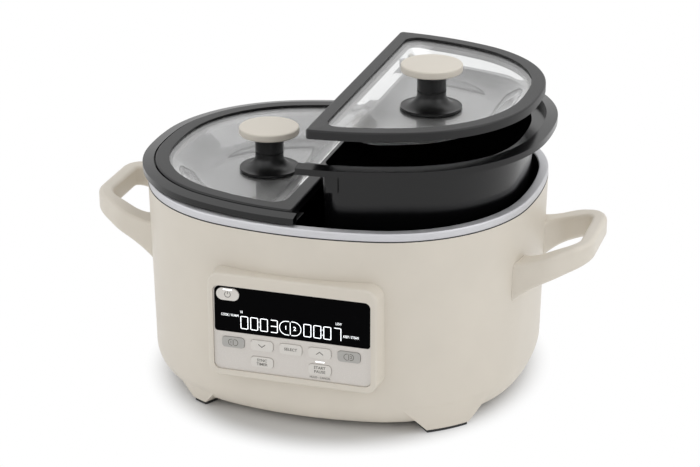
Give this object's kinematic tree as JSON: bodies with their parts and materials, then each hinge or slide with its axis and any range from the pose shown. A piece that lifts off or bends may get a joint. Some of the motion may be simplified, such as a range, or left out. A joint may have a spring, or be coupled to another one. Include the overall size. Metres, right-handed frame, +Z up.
{
  "type": "slow cooker",
  "caption": "Oval countertop slow cooker with side-by-side half-oval lift-out pots, dished glass lids with knobs, loop handles and a front button panel.",
  "frame": {"origin": "on the table, under the middle of the oval body", "axes": "+Z up, +X to the right along the long side with the handles, -Y out of the control panel"},
  "size_m": [0.462, 0.3364, 0.2927],
  "materials": {
    "cream_plastic": "satin moulded, warm cream",
    "trim_steel": "satin light grey",
    "well_enamel": "satin black",
    "pot_coating": "satin black non-stick coating",
    "lid_frame_plastic": "satin charcoal",
    "lid_glass": "clear tempered",
    "knob_black": "satin black",
    "washer_rubber": "matte black",
    "screw_steel": "bright",
    "vent_metal": "polished",
    "fascia_plastic": "satin silver grey",
    "button_plastic": "satin silver grey",
    "zone_button_plastic": "satin mid grey",
    "window_plastic": "gloss black",
    "light_plastic": "white diffusing",
    "module_plastic": "matte black",
    "board_laminate": "green laminate",
    "electric_black": "matte black",
    "transformer_yellow": "taped core",
    "heater_aluminium": "as cast",
    "shield_steel": "rolled sheet",
    "fuse_ceramic": "white ceramic sleeve",
    "cover_plastic": "matte grey",
    "pad_rubber": "matte black",
    "cable_plastic": "grey ribbon"
  },
  "bodies": {
    "base": {"housing": "cream_plastic", "trim_ring": "trim_steel", "heating_well": "well_enamel", "feet": "cream_plastic", "foot_pads": "pad_rubber", "bottom_cover": "cover_plastic", "cover_screws": "screw_steel", "left_handle": "cream_plastic", "right_handle": "cream_plastic", "handle_screws": "screw_steel", "cord_gland": "electric_black", "left_heater": "heater_aluminium", "right_heater": "heater_aluminium", "left_sensor": "heater_aluminium", "right_sensor": "heater_aluminium", "heater_studs": "screw_steel", "thermal_fuses": "fuse_ceramic", "heat_shield": "shield_steel", "power_board": "board_laminate", "relays": "electric_black", "transformer": "transformer_yellow", "panel_cable": "cable_plastic", "panel_frame": "cream_plastic", "fascia": "fascia_plastic", "display_window": "window_plastic", "display_module": "module_plastic", "control_board": "board_laminate", "board_screws": "screw_steel", "tact_switches": "electric_black", "start_light": "light_plastic"},
    "left_pot": {"left_pot": "pot_coating"},
    "left_lid": {"left_lid_frame": "lid_frame_plastic", "left_lid_glass": "lid_glass", "left_knob_washer": "washer_rubber", "left_knob_stem": "knob_black", "left_knob_cap": "cream_plastic", "left_knob_screw": "screw_steel", "left_steam_vent": "vent_metal"},
    "right_pot": {"right_pot": "pot_coating"},
    "right_lid": {"right_lid_frame": "lid_frame_plastic", "right_lid_glass": "lid_glass", "right_knob_washer": "washer_rubber", "right_knob_stem": "knob_black", "right_knob_cap": "cream_plastic", "right_knob_screw": "screw_steel", "right_steam_vent": "vent_metal"},
    "power_button": {"power_button": "button_plastic", "power_light": "light_plastic"},
    "zone_1_button": {"zone_1_button": "zone_button_plastic"},
    "down_button": {"down_button": "button_plastic"},
    "select_button": {"select_button": "button_plastic"},
    "up_button": {"up_button": "button_plastic"},
    "zone_2_button": {"zone_2_button": "zone_button_plastic"},
    "sync_button": {"sync_button": "button_plastic"},
    "start_button": {"start_button": "button_plastic"}
  },
  "joints": [
    {"name": "left_pot_lift", "type": "slide", "parent": "base", "child": "left_pot", "axis": [0, 0, 1], "range_m": [0, 0.15]},
    {"name": "left_lid_lift", "type": "slide", "parent": "left_pot", "child": "left_lid", "axis": [0, 0, 1], "range_m": [0, 0.12]},
    {"name": "right_pot_lift", "type": "slide", "parent": "base", "child": "right_pot", "axis": [0, 0, 1], "range_m": [-0.0456, 0.105]},
    {"name": "right_lid_lift", "type": "slide", "parent": "right_pot", "child": "right_lid", "axis": [0, 0, 1], "range_m": [-0.0276, 0.09]},
    {"name": "power_button_press", "type": "slide", "parent": "base", "child": "power_button", "axis": [0, 1, 0], "range_m": [0, 0.0005], "stiffness_N_per_m": 2000},
    {"name": "zone_1_button_press", "type": "slide", "parent": "base", "child": "zone_1_button", "axis": [0, 1, 0], "range_m": [0, 0.0005], "stiffness_N_per_m": 2000},
    {"name": "down_button_press", "type": "slide", "parent": "base", "child": "down_button", "axis": [0, 1, 0], "range_m": [0, 0.0005], "stiffness_N_per_m": 2000},
    {"name": "select_button_press", "type": "slide", "parent": "base", "child": "select_button", "axis": [0, 1, 0], "range_m": [0, 0.0005], "stiffness_N_per_m": 2000},
    {"name": "up_button_press", "type": "slide", "parent": "base", "child": "up_button", "axis": [0, 1, 0], "range_m": [0, 0.0005], "stiffness_N_per_m": 2000},
    {"name": "zone_2_button_press", "type": "slide", "parent": "base", "child": "zone_2_button", "axis": [0, 1, 0], "range_m": [0, 0.0005], "stiffness_N_per_m": 2000},
    {"name": "sync_button_press", "type": "slide", "parent": "base", "child": "sync_button", "axis": [0, 1, 0], "range_m": [0, 0.0005], "stiffness_N_per_m": 2000},
    {"name": "start_button_press", "type": "slide", "parent": "base", "child": "start_button", "axis": [0, 1, 0], "range_m": [0, 0.0005], "stiffness_N_per_m": 2000}
  ]
}
